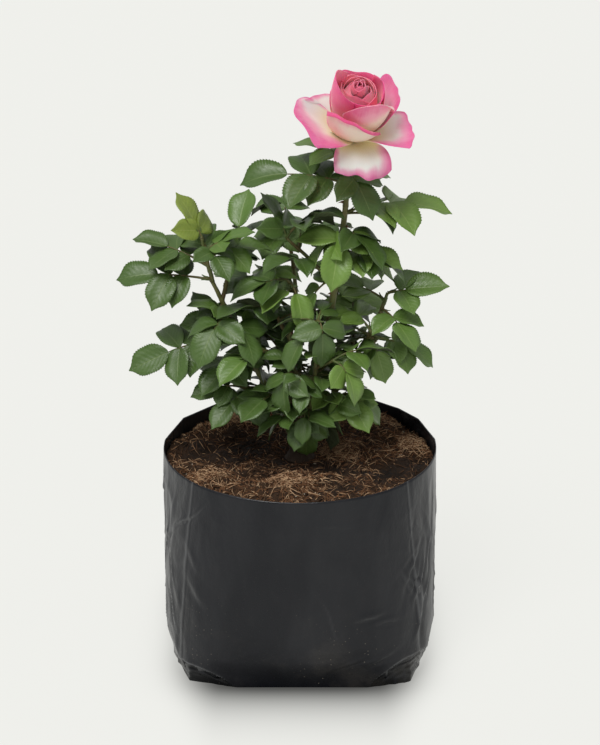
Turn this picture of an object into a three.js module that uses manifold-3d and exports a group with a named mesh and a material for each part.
// Rose bush in bloom, growing in a black grow-bag of coir mix.
// Millimetres, Z up, origin at the centre of the bag's flat underside, the open bloom faces -Y.
// Bearings are in degrees about Z: 0 is +X, 90 is +Y; a rise is the angle above the horizontal.

import * as THREE from 'three';
import Module from 'manifold-3d';

const wasm = await Module();
wasm.setup();
const { Manifold, Mesh: SolidMesh } = wasm;

// Grow-bag
const BAG_RADIUS = 124.8;
const BAG_HEIGHT = 188;
const BAG_WALL = 1.2;
const BAG_FLOOR = 1.5;
const BAG_FACETS = 40;
const BASE_HALF = 118.5;
const BASE_TUCK = 2;
const SWELL_HEIGHT = 60;
const RIM_SQUARENESS = 2.05;
const BASE_SQUARENESS = 4.4;
const WALL_LEVELS = [0, 3, 14, 42, 110, BAG_HEIGHT];
const CUT_OVER = 6;
const RIM_CORNERS = [3, 27.5, 41.5, 56.5, 124.5, 151.5, 177];
const CORNER_RADIUS = 125.6;
const PANEL_FOOT = 50;

// Soil
const SOIL_LEVEL = 175;
const SOIL_MOUND = 8;
const SOIL_LUMP = 1.6;
const SOIL_RINGS = [0.82, 0.55, 0.19];
const GAP = 0.3;
const SIDE_GAP = 0.6;

// Knuckle from which the canes rise
const KNUCKLE_TOP = 197.7;
const KNUCKLE_RADIUS = 12.8;
const KNUCKLE_FLARE = 16;
const RING = 8.5;
const CANE_FOOT = 198;

// Leaves
const LEAF_HALF_WIDTH = 0.34;
const LEAF_THICK = 1.1;
const ROOT_THICK = 0.9;
const STALK_RADIUS = 1.5;
const CLEAR = 4.6;
const OWN_CLEAR = 3.0;

// Bloom
const BLOOM_FOOT = [45.5, -1, 478];
const BLOOM_BEARING = 282;
const BLOOM_RISE = 66;
const PETAL_THICK = 0.9;
const OPEN_PETALS = 5;
const OPEN_GRID = 4;
const BUD_GRID = 3;
const BLOOM_HEART = [47, -4, 503];
const BLOOM_REACH = 50;

const radians = (degrees) => degrees * Math.PI / 180;
const add = (a, b) => [a[0] + b[0], a[1] + b[1], a[2] + b[2]];
const sub = (a, b) => [a[0] - b[0], a[1] - b[1], a[2] - b[2]];
const scaled = (a, k) => [a[0] * k, a[1] * k, a[2] * k];
const dot = (a, b) => a[0] * b[0] + a[1] * b[1] + a[2] * b[2];
const cross = (a, b) => [
  a[1] * b[2] - a[2] * b[1],
  a[2] * b[0] - a[0] * b[2],
  a[0] * b[1] - a[1] * b[0],
];
const length = (a) => Math.sqrt(dot(a, a));
const unit = (a) => scaled(a, 1 / length(a));
const between = (a, b, t) => add(a, scaled(sub(b, a), t));

// Seeded dice: the same seed always grows the same plant.
class Dice {
  constructor(seed) {
    this.state = seed;
  }

  roll() {
    this.state = (this.state * 1664525 + 1013904223) % 4294967296;
    return this.state / 4294967296;
  }

  about(middle, spread) {
    return middle + (2 * this.roll() - 1) * spread;
  }
}

function heading(bearing, rise) {
  const b = radians(bearing);
  const r = radians(rise);
  return [Math.cos(b) * Math.cos(r), Math.sin(b) * Math.cos(r), Math.sin(r)];
}

// Upward normal of a blade that points along heading(bearing, rise).
function crownOf(bearing, rise) {
  const b = radians(bearing);
  const r = radians(rise);
  return [-Math.cos(b) * Math.sin(r), -Math.sin(b) * Math.sin(r), Math.cos(r)];
}

function turned(v, axis, degrees) {
  const a = radians(degrees);
  const along = dot(axis, v) * (1 - Math.cos(a));
  const swung = cross(axis, v);
  return [0, 1, 2].map((k) => v[k] * Math.cos(a) + swung[k] * Math.sin(a) + axis[k] * along);
}

// Canes: each one rises from a ring on the knuckle, bends once and tapers.
const CANES = {
  flower: { foot: 45, bend: [34, 2, 330], tip: [44, 0, 462], thick: [4.0, 2.6] },
  left: { foot: 170, bend: [-44, 8, 268], tip: [-78, 2, 345], thick: [3.4, 2.2] },
  right: { foot: 340, bend: [44, 10, 256], tip: [72, 4, 314], thick: [3.2, 2.0] },
  back: { foot: 105, bend: [2, 44, 262], tip: [-6, 66, 335], thick: [3.2, 2.0] },
  middle: { foot: 228, bend: [-13, -4, 270], tip: [-4, -6, 338], thick: [3.0, 1.9] },
  front: { foot: 285, bend: [14, -28, 250], tip: [16, -32, 310], thick: [2.8, 1.8] },
};

for (const cane of Object.values(CANES)) {
  const foot = radians(cane.foot);
  cane.path = new THREE.QuadraticBezierCurve3(
    new THREE.Vector3(RING * Math.cos(foot), RING * Math.sin(foot), CANE_FOOT),
    new THREE.Vector3(...cane.bend),
    new THREE.Vector3(...cane.tip),
  );
}

function canePoint(cane, t) {
  return cane.path.getPoint(t).toArray();
}

// Foliage masses. Each grows on one cane, at a share of its length.
// stem: bearing, rise, length of the side twig; without it the leaves stand on the cane itself.
// leaves: place on the twig, bearing, rise, reach, leaflet length, pairs, sag, roll, and where they
// differ the spread of the pairs and how far the pairs sit below their usual place.
// more: how many further leaves the seeded rule sets round the twig.
const MASSES = {
  bloom_left: { cane: 'flower', at: 0.90, leaves: [[0, 180, 20, 54, 48, 2, 20, -26, 66, 0.16]] },
  bloom_front: { cane: 'flower', at: 0.93, leaves: [[0, 300, 10, 12, 38, 1, 50, 10]] },
  bloom_back: { cane: 'flower', at: 0.965, leaves: [[0, 152, 44, 26, 36, 1, 30, -10]] },
  upper_right: { cane: 'flower', at: 0.80, leaves: [[0, 3, 22, 54, 50, 2, 30, 6]] },
  upper_back: { cane: 'flower', at: 0.86, leaves: [[0, 80, 34, 45, 42, 2, 30, 0]] },
  upper_front: { cane: 'flower', at: 0.73, leaves: [[0, 258, 22, 20, 47, 1, 76, -8, 84]] },
  upper_left: {
    cane: 'flower', at: 0.55, stem: [176, 44, 60], more: 1,
    leaves: [[1, 150, 66, 12, 36, 1, 0, 0], [0.75, 85, 50, 22, 36, 1, 20, 0], [0.5, 230, 24, 22, 36, 1, 20, 0]],
  },
  mid_right: { cane: 'flower', at: 0.66, leaves: [[0, 350, 28, 22, 42, 1, 24, 10]] },
  left_top: {
    cane: 'left', at: 1, stem: [192, 78, 42],
    leaves: [
      [1, 145, 62, 10, 38, 1, 0, 0], [0.05, 180, 10, 48, 44, 2, 8, -30], [0.35, 160, 28, 42, 38, 2, 16, -20],
      [0.55, 20, 25, 30, 38, 1, 25, 20], [0.78, 300, 10, 22, 32, 1, 40, 0],
    ],
  },
  left_low: { cane: 'left', at: 0.62, stem: [190, 0, 18], more: 1, leaves: [[1, 183, 4, 50, 42, 2, 28, -40]] },
  left_mid: {
    cane: 'left', at: 0.78, stem: [260, 20, 14],
    leaves: [[1, 240, 0, 22, 40, 1, 30, 0], [0.5, 300, -5, 28, 36, 1, 20, 0]],
  },
  left_back: { cane: 'left', at: 0.88, stem: [58, 62, 54], more: 2, leaves: [[1, 75, 66, 14, 42, 1, 10, 0]] },
  low_left: {
    cane: 'left', at: 0.3, stem: [200, 12, 24],
    leaves: [[1, 190, 20, 20, 30, 1, 30, -20], [0.6, 225, 0, 28, 32, 1, 30, 0]],
  },
  right_top: {
    cane: 'right', at: 1, stem: [20, 70, 20],
    leaves: [[1, 355, 14, 16, 42, 1, 4, 20], [0.6, 150, 36, 24, 38, 1, 30, 0], [0.2, 300, 5, 26, 38, 1, 30, 0]],
  },
  right_low: { cane: 'right', at: 0.8, stem: [355, -4, 12], leaves: [[1, 355, -10, 24, 36, 2, 12, 20]] },
  low_right: { cane: 'right', at: 0.3, stem: [320, 22, 14], leaves: [[1, 305, 0, 12, 36, 1, 30, 10]] },
  middle_top: {
    cane: 'middle', at: 1, stem: [200, 60, 14],
    leaves: [[1, 188, 12, 20, 40, 1, 30, -10], [0.3, 228, 12, 8, 38, 0, 30, 0], [0.7, 300, 0, 14, 38, 0, 50, 0]],
  },
  front_mid: {
    cane: 'front', at: 1, stem: [100, 75, 10],
    leaves: [[1, 296, 15, 16, 34, 1, 100, 0, 80], [0.4, 215, -6, 20, 34, 1, 40, -20]],
  },
  low_front: {
    cane: 'front', at: 0.3, stem: [250, 30, 12],
    leaves: [[1, 262, -30, 10, 26, 0, 20, 0], [0.6, 200, 5, 24, 30, 1, 30, 0]],
  },
  front_low: { cane: 'front', at: 0.6, stem: [205, 22, 26], more: 1, leaves: [[1, 240, 5, 10, 34, 1, 70, 0]] },
  front_right: { cane: 'front', at: 0.7, stem: [330, 30, 20], more: 2, leaves: [[1, 320, 0, 18, 34, 1, 50, 0]] },
  right_front: { cane: 'right', at: 0.78, stem: [285, 35, 22], more: 2, leaves: [] },
  right_inner: { cane: 'right', at: 0.55, stem: [80, 50, 40], more: 3, leaves: [] },
  right_base: { cane: 'right', at: 0.36, stem: [50, 30, 34], more: 2, leaves: [] },
  left_inner: { cane: 'left', at: 0.5, stem: [75, 40, 34], more: 3, leaves: [] },
  left_base: { cane: 'left', at: 0.4, stem: [150, 30, 30], more: 2, leaves: [] },
  middle_left: { cane: 'middle', at: 0.5, stem: [205, 35, 36], more: 3, leaves: [] },
  middle_low: { cane: 'middle', at: 0.28, stem: [235, 25, 26], more: 2, leaves: [] },
  middle_back: { cane: 'middle', at: 0.66, stem: [140, 50, 40], more: 3, leaves: [] },
  back_top: { cane: 'back', at: 1, stem: [110, 70, 44], more: 4, leaves: [] },
  back_left: { cane: 'back', at: 0.72, stem: [160, 35, 44], more: 3, leaves: [] },
  back_right: { cane: 'back', at: 0.62, stem: [30, 35, 50], more: 4, leaves: [] },
  back_low: { cane: 'back', at: 0.38, stem: [95, 20, 34], more: 2, leaves: [] },
};

const PAIR_PLACES = { 2: [0.50, 0.78], 1: [0.70], 0: [] };
const PAIR_SHARES = { 2: [0.78, 0.92], 1: [0.85], 0: [] };
const STALK_STEPS = 12;
const NUDGES = [
  [0, 0], [5, 0], [-5, 0], [0, 6], [0, -6], [10, 0], [-10, 0], [0, 12], [0, -12],
  [10, 10], [-10, -10], [15, 0], [-15, 0], [0, 18], [0, -18],
];
const FAN = [0, 24, -24, 48, -48, 72, -72, 96, -96, 120, -120];

// One blade: half width over its length, folded along the midrib and curled down towards its tip.
class Leaflet {
  constructor(root, axis, crown, size, fold, curl) {
    Object.assign(this, { root, axis, crown, size, fold, curl });
    this.side = cross(crown, axis);
  }

  point(u, v) {
    const share = Math.pow(Math.max(Math.sin(Math.PI * Math.pow(u, 0.8)), 0), 0.72);
    const w = LEAF_HALF_WIDTH * this.size * share * v;
    const k = radians(this.curl);
    const lift = Math.abs(w) * Math.sin(radians(this.fold));
    const along = this.size * Math.sin(k * u) / k + Math.sin(k * u) * lift;
    const up = -this.size * (1 - Math.cos(k * u)) / k + Math.cos(k * u) * lift;
    const out = w * Math.cos(radians(this.fold));
    return add(add(add(this.root, scaled(this.axis, along)), scaled(this.crown, up)), scaled(this.side, out));
  }

  samples() {
    const points = [];
    for (let i = 0; i < 7; i++) {
      for (let j = -2; j <= 2; j++) points.push(this.point(0.08 + 0.15 * i, 0.45 * j));
    }
    return points;
  }
}

// One compound leaf: a sagging stalk with pairs of blades and one at its end.
class Compound {
  constructor(root, row, seed) {
    const [bearing, rise, reach, size, pairs, sag, roll, spread = 66, low = 0] = row;
    Object.assign(this, { bearing, rise, sag, roll });
    const dice = new Dice(seed);
    this.line = [root];
    for (let i = 0; i < STALK_STEPS; i++) {
      const step = heading(bearing, rise - sag * (i + 0.5) / STALK_STEPS);
      this.line.push(add(this.line[i], scaled(step, reach / STALK_STEPS)));
    }
    this.leaflets = [];
    PAIR_PLACES[pairs].forEach((place, k) => {
      for (const way of [1, -1]) {
        const { at, along, crown } = this.frame(place - low);
        const psi = radians(dice.about(spread, 6));
        const side = scaled(cross(crown, along), way);
        const axis = add(scaled(along, Math.cos(psi)), scaled(side, Math.sin(psi)));
        this.leaflets.push(this.blade(dice, at, axis, crown, size * PAIR_SHARES[pairs][k], way));
      }
    });
    const { at, along, crown } = this.frame(1);
    this.end = at;
    this.leaflets.push(this.blade(dice, at, along, crown, size, 0));
  }

  frame(s) {
    const k = Math.min(STALK_STEPS - 1, Math.floor(s * STALK_STEPS));
    const at = between(this.line[k], this.line[k + 1], s * STALK_STEPS - k);
    const rise = this.rise - this.sag * s;
    const along = heading(this.bearing, rise);
    return { at, along, crown: turned(crownOf(this.bearing, rise), along, this.roll) };
  }

  blade(dice, at, axis, crown, size, way) {
    const hang = dice.about(2, 4);
    const axle = cross(crown, axis);
    const pointed = turned(axis, axle, hang);
    const face = turned(turned(crown, axle, hang), pointed, way * dice.about(4, 8));
    return new Leaflet(at, pointed, face, size * dice.about(1, 0.05), dice.about(14, 5), dice.about(18, 8));
  }
}

// What is already taken, as clouds of sample points that each belong to one mass or cane.
class Space {
  constructor() {
    this.clouds = [];
  }

  cloud(points) {
    const low = [0, 1, 2].map((k) => Math.min(...points.map((p) => p[k])));
    const high = [0, 1, 2].map((k) => Math.max(...points.map((p) => p[k])));
    const centre = scaled(add(low, high), 0.5);
    const radius = Math.max(...points.map((p) => length(sub(p, centre))));
    return { points, centre, radius };
  }

  take(points, owner, extra = 0) {
    this.clouds.push({ ...this.cloud(points), owner, extra });
  }

  free(points, owner, need, ownNeed) {
    const trial = this.cloud(points);
    for (const other of this.clouds) {
      const gap = (other.owner === owner ? ownNeed : need) + other.extra;
      if (length(sub(other.centre, trial.centre)) > other.radius + trial.radius + gap) continue;
      for (const p of points) {
        for (const q of other.points) {
          const d = sub(p, q);
          if (dot(d, d) < gap * gap) return false;
        }
      }
    }
    return true;
  }
}

// Leaves keep above the soil and off the rim of the bag.
function withinCrown(points) {
  return points.every((p) => {
    const overWall = Math.hypot(p[0], p[1]) > 118 && p[2] < 192;
    return p[2] >= 179 && !overWall;
  });
}

function growFoliage() {
  const space = new Space();
  for (const [name, cane] of Object.entries(CANES)) {
    for (let k = 0; k < 12; k++) {
      const points = [0, 1, 2, 3, 4].map((j) => canePoint(cane, (k + j / 4) / 12));
      space.take(points, 'cane ' + name, cane.thick[0] - 2);
    }
  }
  const grown = {};
  for (const [name, mass] of Object.entries(MASSES)) {
    const root = canePoint(CANES[mass.cane], mass.at);
    let tip = root;
    if (mass.stem) {
      const [bearing, rise, reach] = mass.stem;
      tip = add(root, scaled(heading(bearing, rise), reach));
      const count = Math.max(2, Math.floor(length(sub(tip, root)) / 4));
      space.take(Array.from({ length: count }, (_, i) => between(root, tip, (i + 1) / count)), name);
    }
    grown[name] = { root, tip, leaves: [] };
  }

  const settle = (leaf, kept, name) => {
    if (kept.length === 0) return;
    leaf.leaflets = kept;
    grown[name].leaves.push(leaf);
    for (const leaflet of kept) space.take(leaflet.samples(), name);
    space.take(leaf.line.slice(4), name);
  };
  const keepable = (leaf, name, offBloom) => leaf.leaflets.filter((leaflet) => {
    const points = leaflet.samples();
    if (!withinCrown(points) || !space.free(points, name, CLEAR, OWN_CLEAR)) return false;
    return !offBloom || points.every((p) => length(sub(p, BLOOM_HEART)) > BLOOM_REACH);
  });

  Object.entries(MASSES).forEach(([name, mass], k) => {
    const { root, tip } = grown[name];
    mass.leaves.forEach(([place, bearing, rise, ...rest], i) => {
      let best = null;
      for (const [turn, lift] of NUDGES) {
        const row = [bearing + turn, rise + lift, ...rest];
        const leaf = new Compound(between(root, tip, place), row, 1000 + 90 * k + 7 * i);
        const kept = keepable(leaf, name, false);
        if (best === null || kept.length > best.kept.length) best = { leaf, kept };
        if (kept.length === leaf.leaflets.length) break;
      }
      settle(best.leaf, best.kept, name);
    });
  });

  Object.entries(MASSES).forEach(([name, mass], k) => {
    if (!mass.more) return;
    const { root, tip } = grown[name];
    const dice = new Dice(500 + 31 * k);
    const start = dice.about(0, 180);
    for (let i = 0; i < mass.more; i++) {
      const place = between(root, tip, 1 - 0.7 * i / mass.more);
      let best = null;
      for (let t = 0; t < FAN.length; t++) {
        const bearing = start + 144 * i + FAN[t];
        const rise = dice.about(26, 18) + (i === 0 ? 24 : 0);
        const size = dice.about(38, 4);
        const pairs = dice.roll() < 0.6 ? 2 : 1;
        const reach = dice.about(20, 5) + 4 * pairs;
        const row = [bearing, rise, reach, size, pairs, dice.about(30, 14), dice.about(0, 16)];
        const leaf = new Compound(place, row, 7000 + 100 * k + 12 * i + t);
        if (!withinCrown(leaf.line) || !space.free(leaf.line.slice(4), name, 2.5, 0)) continue;
        const kept = keepable(leaf, name, true);
        if (best === null || kept.length > best.kept.length) best = { leaf, kept };
        if (kept.length === leaf.leaflets.length) break;
      }
      if (best !== null && best.kept.length > 1) settle(best.leaf, best.kept, name);
    }
  });
  return grown;
}

// A closed solid from corner points and triangles.
function solidFrom(points, faces) {
  const mesh = new SolidMesh({
    numProp: 3,
    vertProperties: Float32Array.from(points.flat()),
    triVerts: Uint32Array.from(faces.flat()),
  });
  const solid = new Manifold(mesh);
  return solid.volume() < 0 ? new Manifold(new SolidMesh({
    numProp: 3,
    vertProperties: Float32Array.from(points.flat()),
    triVerts: Uint32Array.from(faces.map(([a, b, c]) => [a, c, b]).flat()),
  })) : solid;
}

// Stacked rings of equal count, capped at both ends.
function lofted(rings) {
  const count = rings[0].length;
  const points = rings.flat();
  const faces = [];
  for (let i = 0; i + 1 < rings.length; i++) {
    for (let j = 0; j < count; j++) {
      const a = i * count + j;
      const b = i * count + (j + 1) % count;
      faces.push([a, b, b + count], [a, b + count, a + count]);
    }
  }
  const last = (rings.length - 1) * count;
  for (let j = 1; j + 1 < count; j++) {
    faces.push([0, j + 1, j], [last, last + j, last + j + 1]);
  }
  return solidFrom(points, faces);
}

// A tapering limb along a line of points; its first edge runs along the side that faces crest.
function limb(line, radii, sides, crest = [0.31, 0.95, 0.05]) {
  const rings = line.map((p, i) => {
    const ahead = line[Math.min(i + 1, line.length - 1)];
    const behind = line[Math.max(i - 1, 0)];
    const along = unit(sub(ahead, behind));
    const side = unit(cross(along, crest));
    const up = cross(side, along);
    return Array.from({ length: sides }, (_, j) => {
      const a = 2 * Math.PI * j / sides;
      return add(p, add(scaled(up, radii[i] * Math.cos(a)), scaled(side, radii[i] * Math.sin(a))));
    });
  });
  return lofted(rings);
}

// The outer skin of the largest piece, so that sealed hollows fill and scraps fall away.
function whole(solid, coarse = 0.12) {
  const pieces = solid.simplify(coarse).decompose();
  return pieces.reduce((best, piece) => (piece.volume() > best.volume() ? piece : best));
}

// Plan radius of the flat panels in which the film stands behind the plant, from corner to corner.
function panelRadius(angle) {
  const bearing = (angle * 180 / Math.PI + 360) % 360;
  const next = RIM_CORNERS.findIndex((corner) => corner > bearing);
  if (next < 1) return Infinity;
  const half = radians(RIM_CORNERS[next] - RIM_CORNERS[next - 1]) / 2;
  const middle = radians(RIM_CORNERS[next] + RIM_CORNERS[next - 1]) / 2;
  return CORNER_RADIUS * Math.cos(half) / Math.cos(radians(bearing) - middle);
}

// Plan radius of the bag at a bearing: nearly round at the rim, with flat panels at the back, and
// squared where the base is folded.
function wallRadius(angle, z) {
  const level = Math.max(1, WALL_LEVELS.findIndex((h) => h >= z - 1e-6));
  const at = (h) => {
    const rise = h / BAG_HEIGHT;
    const half = BAG_RADIUS - (BAG_RADIUS - BASE_HALF) * Math.pow(1 - Math.min(1, h / SWELL_HEIGHT), 2);
    const n = BASE_SQUARENESS + (RIM_SQUARENESS - BASE_SQUARENESS) * Math.pow(rise, 0.55);
    const c = Math.pow(Math.abs(Math.cos(angle)), n) + Math.pow(Math.abs(Math.sin(angle)), n);
    const tuck = h === 0 ? BASE_TUCK : 0;
    const full = half / Math.pow(c, 1 / n) - tuck;
    const pressed = Math.max(0, (h - PANEL_FOOT) / (BAG_HEIGHT - PANEL_FOOT));
    return full - pressed * Math.max(0, full - panelRadius(angle));
  };
  const low = WALL_LEVELS[level - 1];
  const high = WALL_LEVELS[level];
  return at(low) + (at(high) - at(low)) * (z - low) / (high - low);
}

function wallRing(z, inset) {
  return Array.from({ length: BAG_FACETS }, (_, j) => {
    const a = 2 * Math.PI * j / BAG_FACETS;
    const r = wallRadius(a, z) - inset;
    return [r * Math.cos(a), r * Math.sin(a), z];
  });
}

function growBag() {
  const outside = lofted(WALL_LEVELS.map((z) => wallRing(z, 0)));
  const levels = [BAG_FLOOR, ...WALL_LEVELS.slice(1), BAG_HEIGHT + CUT_OVER];
  const inside = lofted(levels.map((z) => wallRing(Math.min(z, BAG_HEIGHT), BAG_WALL)
    .map(([x, y]) => [x, y, z])));
  return whole(outside.subtract(inside));
}

// Height of the soil: level, heaped towards the front rim, lumpy away from the stem.
function soilHeight(x, y) {
  const from = Math.hypot(x, y);
  const lump = Math.sin(0.085 * x + 1.3) * Math.cos(0.11 * y - 0.4) + 0.6 * Math.sin(0.21 * x - 0.17 * y);
  const open = Math.min(1, Math.max(0, (from - 24) / 30));
  return SOIL_LEVEL + open * (SOIL_LUMP * lump + SOIL_MOUND * Math.exp(-Math.pow((y + 105) / 45, 2)));
}

function soilPlug() {
  const inset = BAG_WALL + SIDE_GAP;
  const rings = [BAG_FLOOR + GAP, ...WALL_LEVELS.slice(1, -1)].map((z) => wallRing(z, inset));
  const edge = wallRing(SOIL_LEVEL, inset).map(([x, y]) => {
    const z = soilHeight(x, y);
    const r = wallRadius(Math.atan2(y, x), z) - inset;
    return [r * x / Math.hypot(x, y), r * y / Math.hypot(x, y), z];
  });
  rings.push(edge);
  for (const share of SOIL_RINGS) {
    rings.push(edge.map(([x, y]) => [x * share, y * share, soilHeight(x * share, y * share)]));
  }
  return whole(lofted(rings));
}

function shortStem() {
  const foot = SOIL_LEVEL + GAP;
  const profile = [
    [foot, KNUCKLE_FLARE], [foot + 3, 12], [foot + 8, 10.2], [foot + 13, 11], [KNUCKLE_TOP - 5, KNUCKLE_RADIUS],
    [KNUCKLE_TOP, KNUCKLE_RADIUS - 0.6],
  ];
  const sides = 16;
  const rings = profile.map(([z, r], i) => Array.from({ length: sides }, (_, j) => {
    const a = 2 * Math.PI * j / sides;
    const flare = 1 + (i === 0 ? 0.16 : 0.05) * Math.sin(3 * a + 0.6) * (i < 4 ? 1 : 0);
    return [r * flare * Math.cos(a), r * flare * Math.sin(a), z];
  }));
  return lofted(rings);
}

// Cane as one tapering limb; extra widens it into the sleeve that keeps twigs clear of it.
function caneLimb(cane, sides, extra = 0) {
  const steps = 7;
  const line = Array.from({ length: steps + 1 }, (_, i) => canePoint(cane, i / steps));
  const radii = line.map((_, i) => cane.thick[0] + (cane.thick[1] - cane.thick[0]) * i / steps + extra);
  if (extra > 0) {
    const last = unit(sub(line[steps], line[steps - 1]));
    line[steps] = add(line[steps], scaled(last, extra));
  } else {
    line[0] = [...line[0].slice(0, 2), CANE_FOOT + 3];
    line.unshift([...canePoint(cane, 0).slice(0, 2), CANE_FOOT]);
    radii.unshift(radii[0] * 1.1);
  }
  return limb(line, radii, sides);
}

// Blade solid of ten faces: an upright edge at the root, the two widest points, the tip and a midrib
// point above and below. Its root is sunk into the stalk.
function leafletSolid(leaflet, sunk) {
  const thick = Math.max(LEAF_THICK, leaflet.size / 50);
  const wide = (v) => add(leaflet.point(0.44, v), scaled(leaflet.side, v * LEAF_HALF_WIDTH * leaflet.size * 0.04));
  const k = radians(leaflet.curl) * 0.45;
  const face = unit(add(scaled(leaflet.crown, Math.cos(k)), scaled(leaflet.axis, Math.sin(k))));
  const rib = leaflet.point(0.45, 0);
  const root = add(leaflet.root, scaled(leaflet.axis, -sunk));
  const points = [
    add(root, scaled(leaflet.crown, ROOT_THICK / 2)), add(root, scaled(leaflet.crown, -ROOT_THICK / 2)),
    wide(1), leaflet.point(1, 0), wide(-1),
    add(rib, scaled(face, thick * 0.4)), add(rib, scaled(face, -thick * 0.9)),
  ];
  const faces = [
    [0, 2, 5], [2, 3, 5], [3, 4, 5], [4, 0, 5], [2, 1, 6], [3, 2, 6], [4, 3, 6], [1, 4, 6], [0, 1, 2], [1, 0, 4],
  ];
  return solidFrom(points, faces);
}

// Twigs and blades of one mass, fused, kept clear of the cane that carries it.
function foliageMass(mass, grown, sleeves) {
  const solids = [];
  if (mass.stem) {
    const line = [grown.root, between(grown.root, grown.tip, 0.5), grown.tip];
    solids.push(limb(line, [2.1, 1.8, 1.5], 4));
  }
  for (const leaf of grown.leaves) {
    const line = [leaf.line[0], leaf.line[6], leaf.line[12]];
    const crest = leaf.frame(0.6).crown;
    solids.push(limb(line, [STALK_RADIUS * 1.2, STALK_RADIUS * 1.1, STALK_RADIUS], 3, crest));
    for (const leaflet of leaf.leaflets) {
      solids.push(leafletSolid(leaflet, leaflet.root === leaf.end ? 0.9 : -0.1));
    }
  }
  const fused = Manifold.union(solids);
  return whole(fused.subtract(sleeves[mass.cane]));
}

// Petals. az: bearing about the bloom's axis, with 270 at the front; long and wide: size in mm.
// open: angle from the axis at the foot, the middle and the rim; wrap: arc across at foot and rim.
// foot: radius and height of the foot on the axis; roll: how far the rim turns over, from share rollAt on.
// tip and blunt: how far and how abruptly the rim falls back at the sides; skew: longer on one side.
// wave: ripple of the wall in mm; lobe: share by which the rim's outline swings.
const PETALS = [
  { az: 206, long: 56, wide: 66, open: [52, 64, 88], wrap: [80, -16], foot: [3.2, 1], roll: 50, rollAt: 0.8,
    tip: 0.26, wave: 2.5, skew: 0.02, lobe: 0.02 },
  { az: 345, long: 53, wide: 50, open: [56, 72, 78], wrap: [80, 10], foot: [3.2, 1], roll: 10, tip: 0.1,
    blunt: 4, wave: 1.8, lobe: 0.03 },
  { az: 285, long: 41, wide: 50, open: [84, 116, 136], wrap: [60, 30], foot: [3.2, 0], roll: 4, tip: 0.14,
    blunt: 4, wave: 1, skew: 0.12 },
  { az: 162, long: 50, wide: 48, open: [48, 70, 88], wrap: [80, 30], foot: [3, 1.5], roll: 40, tip: 0.24,
    wave: 1.5 },
  { az: 22, long: 56, wide: 44, open: [46, 22, 18], wrap: [90, 50], foot: [3, 2], roll: 10, tip: 0.08,
    blunt: 4, wave: 1, skew: 0.04 },
  { az: 254, long: 39, wide: 58, open: [88, 30, 8], wrap: [130, 138], foot: [2.8, 2], tip: 0.02, wave: 0.6,
    skew: -0.15, lobe: 0.02 },
  { az: 322, long: 44, wide: 52, open: [70, 24, 8], wrap: [120, 130], foot: [2.8, 3], roll: 30, rollAt: 0.8,
    tip: 0.02, wave: 1, skew: 0.05 },
  { az: 205, long: 58, wide: 60, open: [64, 2, -4], wrap: [150, 160], foot: [2.6, 4], roll: 14, tip: 0.04,
    blunt: 4, skew: -0.05, lobe: 0.02 },
  { az: 338, long: 54, wide: 60, open: [64, 3, -8], wrap: [150, 160], foot: [2.6, 4], roll: 24, tip: 0.03,
    skew: 0.02 },
  { az: 92, long: 58, wide: 60, open: [60, 5, -2], wrap: [150, 160], foot: [2.6, 4], roll: 16, tip: 0.03,
    lobe: 0.03 },
];

const BLOOM_AXIS = heading(BLOOM_BEARING, BLOOM_RISE);
const BLOOM_SIDE = unit(cross([0, 1, 0], BLOOM_AXIS));
const BLOOM_BACK = cross(BLOOM_AXIS, BLOOM_SIDE);

// Point of a petal: u runs from foot to rim, v from edge to edge. The wall's angle from the axis runs
// through its three set values and is summed along the petal to give the profile.
function petalPoint(petal, u, v) {
  const { az, long, wide, open, wrap, foot, roll = 0, rollAt = 0.74, tip = 0.2, blunt = 2.6 } = petal;
  const { skew = 0, wave = 0, lobe = 0.012 } = petal;
  const swing = 0.6 * Math.sin(4.1 * v + az) + 0.4 * Math.sin(10.3 * v + 2 * az);
  const edge = 1 - tip * Math.pow(Math.abs(v), blunt) + skew * v + lobe * swing;
  const reach = u * edge;
  const wall = (s) => open[0] * (1 - s) * (1 - 2 * s) + 4 * open[1] * s * (1 - s) + open[2] * s * (2 * s - 1);
  const steps = 24;
  let r = foot[0];
  let h = foot[1];
  for (let i = 0; i < steps; i++) {
    const share = (i + 0.5) / steps;
    const over = Math.max(0, (u * share - rollAt) / (1 - rollAt));
    const tilt = radians(wall(reach * share) + roll * Math.pow(over, 1.6));
    r += long * reach / steps * Math.sin(tilt);
    h += long * reach / steps * Math.cos(tilt);
  }
  const fill = 0.16 + 0.84 * Math.pow(Math.sin(Math.PI / 2 * Math.min(1, reach / 0.78)), 0.9);
  const bow = wide / radians(wrap[0] + (wrap[1] - wrap[0]) * reach);
  const q = v * wide / 2 * fill;
  const ripple = wave * Math.sin(5.3 * v + az) * Math.pow(Math.max(0, (reach - 0.5) / 0.5), 2);
  const inward = bow * (1 - Math.cos(q / bow)) + ripple;
  const lean = radians(wall(reach));
  const a = radians(az);
  const out = add(scaled(BLOOM_SIDE, Math.cos(a)), scaled(BLOOM_BACK, Math.sin(a)));
  const along = add(scaled(BLOOM_SIDE, -Math.sin(a)), scaled(BLOOM_BACK, Math.cos(a)));
  const flat = add(scaled(out, r - inward * Math.cos(lean)), scaled(BLOOM_AXIS, h + inward * Math.sin(lean)));
  return add(BLOOM_FOOT, add(flat, scaled(along, bow * Math.sin(q / bow))));
}

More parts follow.
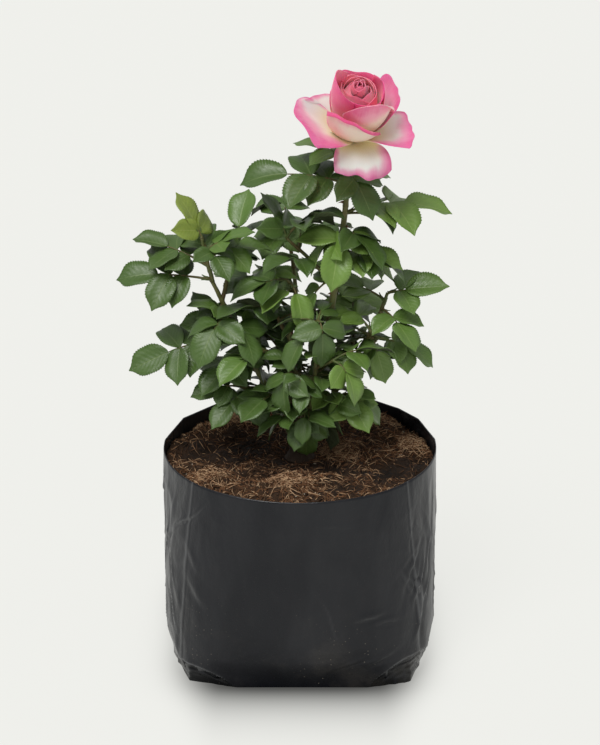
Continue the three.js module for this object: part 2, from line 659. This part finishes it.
// Thin closed shell over a grid of petal points.
function petalSolid(petal, rows) {
  const columns = rows;
  const point = (i, j, side) => {
    const u = Math.max(0.02, i / rows);
    const v = 2 * j / columns - 1;
    const p = petalPoint(petal, u, v);
    const du = sub(petalPoint(petal, Math.min(1, u + 0.02), v), petalPoint(petal, u - 0.02, v));
    const dv = sub(petalPoint(petal, u, v + 0.02), petalPoint(petal, u, v - 0.02));
    return add(p, scaled(unit(cross(du, dv)), side * PETAL_THICK / 2));
  };
  const points = [];
  for (const side of [1, -1]) {
    for (let i = 0; i <= rows; i++) {
      for (let j = 0; j <= columns; j++) points.push(point(i, j, side));
    }
  }
  const id = (side, i, j) => side * (rows + 1) * (columns + 1) + i * (columns + 1) + j;
  const faces = [];
  for (let i = 0; i < rows; i++) {
    for (let j = 0; j < columns; j++) {
      faces.push([id(0, i, j), id(0, i + 1, j), id(0, i + 1, j + 1)]);
      faces.push([id(0, i, j), id(0, i + 1, j + 1), id(0, i, j + 1)]);
      faces.push([id(1, i, j), id(1, i + 1, j + 1), id(1, i + 1, j)]);
      faces.push([id(1, i, j), id(1, i, j + 1), id(1, i + 1, j + 1)]);
    }
    for (const [j, flip] of [[0, false], [columns, true]]) {
      const quad = [id(0, i, j), id(1, i, j), id(1, i + 1, j), id(0, i + 1, j)];
      if (flip) quad.reverse();
      faces.push([quad[0], quad[1], quad[2]], [quad[0], quad[2], quad[3]]);
    }
  }
  for (let j = 0; j < columns; j++) {
    for (const [i, flip] of [[0, true], [rows, false]]) {
      const quad = [id(0, i, j), id(1, i, j), id(1, i, j + 1), id(0, i, j + 1)];
      if (flip) quad.reverse();
      faces.push([quad[0], quad[1], quad[2]], [quad[0], quad[2], quad[3]]);
    }
  }
  return solidFrom(points, faces);
}

function alongBloom(h) {
  return add(BLOOM_FOOT, scaled(BLOOM_AXIS, h));
}

function bloom() {
  const heights = [GAP, 6, 18, 34, 46, 51];
  const core = limb(heights.map(alongBloom), [4.4, 7, 14, 16, 13, 7], 9);
  const petals = PETALS.map((petal, i) => petalSolid(petal, i < OPEN_PETALS ? OPEN_GRID : BUD_GRID));
  const base = alongBloom(0);
  return whole(Manifold.union([core, ...petals]).trimByPlane(BLOOM_AXIS, dot(BLOOM_AXIS, base) + GAP), 0.45);
}

// Green cup under the petals with five narrow sepals bent down.
function calyx() {
  const tip = CANES.flower.tip;
  const start = add(tip, scaled(unit(sub(BLOOM_FOOT, tip)), GAP * 1.4));
  const cup = limb([start, between(start, BLOOM_FOOT, 0.55), alongBloom(0)], [2.6, 5.4, 4.2], 8);
  const solids = [cup];
  for (let i = 0; i < 5; i++) {
    const a = radians(52 + 72 * i);
    const out = add(scaled(BLOOM_SIDE, Math.cos(a)), scaled(BLOOM_BACK, Math.sin(a)));
    const across = cross(BLOOM_AXIS, out);
    const place = (o, h, w) => add(add(alongBloom(h), scaled(out, o)), scaled(across, w));
    const points = [
      place(2, -2.6, 2.4), place(2, -2.6, -2.4), place(9, -5.6, 2.2), place(9, -5.6, -2.2), place(15, -13, 0),
      place(2, -4.2, 0), place(9, -7.4, 0),
    ];
    const faces = [
      [0, 1, 3], [0, 3, 2], [2, 3, 4], [1, 0, 5], [0, 2, 6], [0, 6, 5], [3, 1, 5], [3, 5, 6], [2, 4, 6], [4, 3, 6],
    ];
    solids.push(solidFrom(points, faces));
  }
  const fused = Manifold.union(solids).trimByPlane(scaled(BLOOM_AXIS, -1), -dot(BLOOM_AXIS, alongBloom(0)));
  return whole(fused);
}

const FINISH = {
  film: { color: 0x2b2c2f, roughness: 0.45, metalness: 0 },
  coir: { color: 0x4a3524, roughness: 1, metalness: 0 },
  wood: { color: 0x5b6a35, roughness: 0.7, metalness: 0 },
  leaf: { color: 0x3c5a2c, roughness: 0.6, metalness: 0 },
  petal: { color: 0xd9688f, roughness: 0.6, metalness: 0 },
  sepal: { color: 0x5d7a3a, roughness: 0.6, metalness: 0 },
};

function named(name, solid, finish) {
  const { vertProperties, triVerts } = solid.getMesh();
  const geometry = new THREE.BufferGeometry();
  geometry.setAttribute('position', new THREE.BufferAttribute(new Float32Array(vertProperties), 3));
  geometry.setIndex(new THREE.BufferAttribute(new Uint32Array(triVerts), 1));
  geometry.computeVertexNormals();
  const mesh = new THREE.Mesh(geometry, new THREE.MeshStandardMaterial(FINISH[finish]));
  mesh.name = name;
  return mesh;
}

const group = new THREE.Group();
group.name = 'rose_bush';
group.add(named('bag', growBag(), 'film'));
group.add(named('soil', soilPlug(), 'coir'));
group.add(named('short_stem', shortStem(), 'wood'));

const sleeves = {};
for (const [name, cane] of Object.entries(CANES)) {
  sleeves[name] = caneLimb(cane, 7, 0.4);
  group.add(named(name + '_cane', caneLimb(cane, 7), 'wood'));
}
const foliage = growFoliage();
for (const [name, mass] of Object.entries(MASSES)) {
  group.add(named('leaves_' + name, foliageMass(mass, foliage[name], sleeves), 'leaf'));
}
group.add(named('calyx', calyx(), 'sepal'));
group.add(named('bloom', bloom(), 'petal'));

export default group;
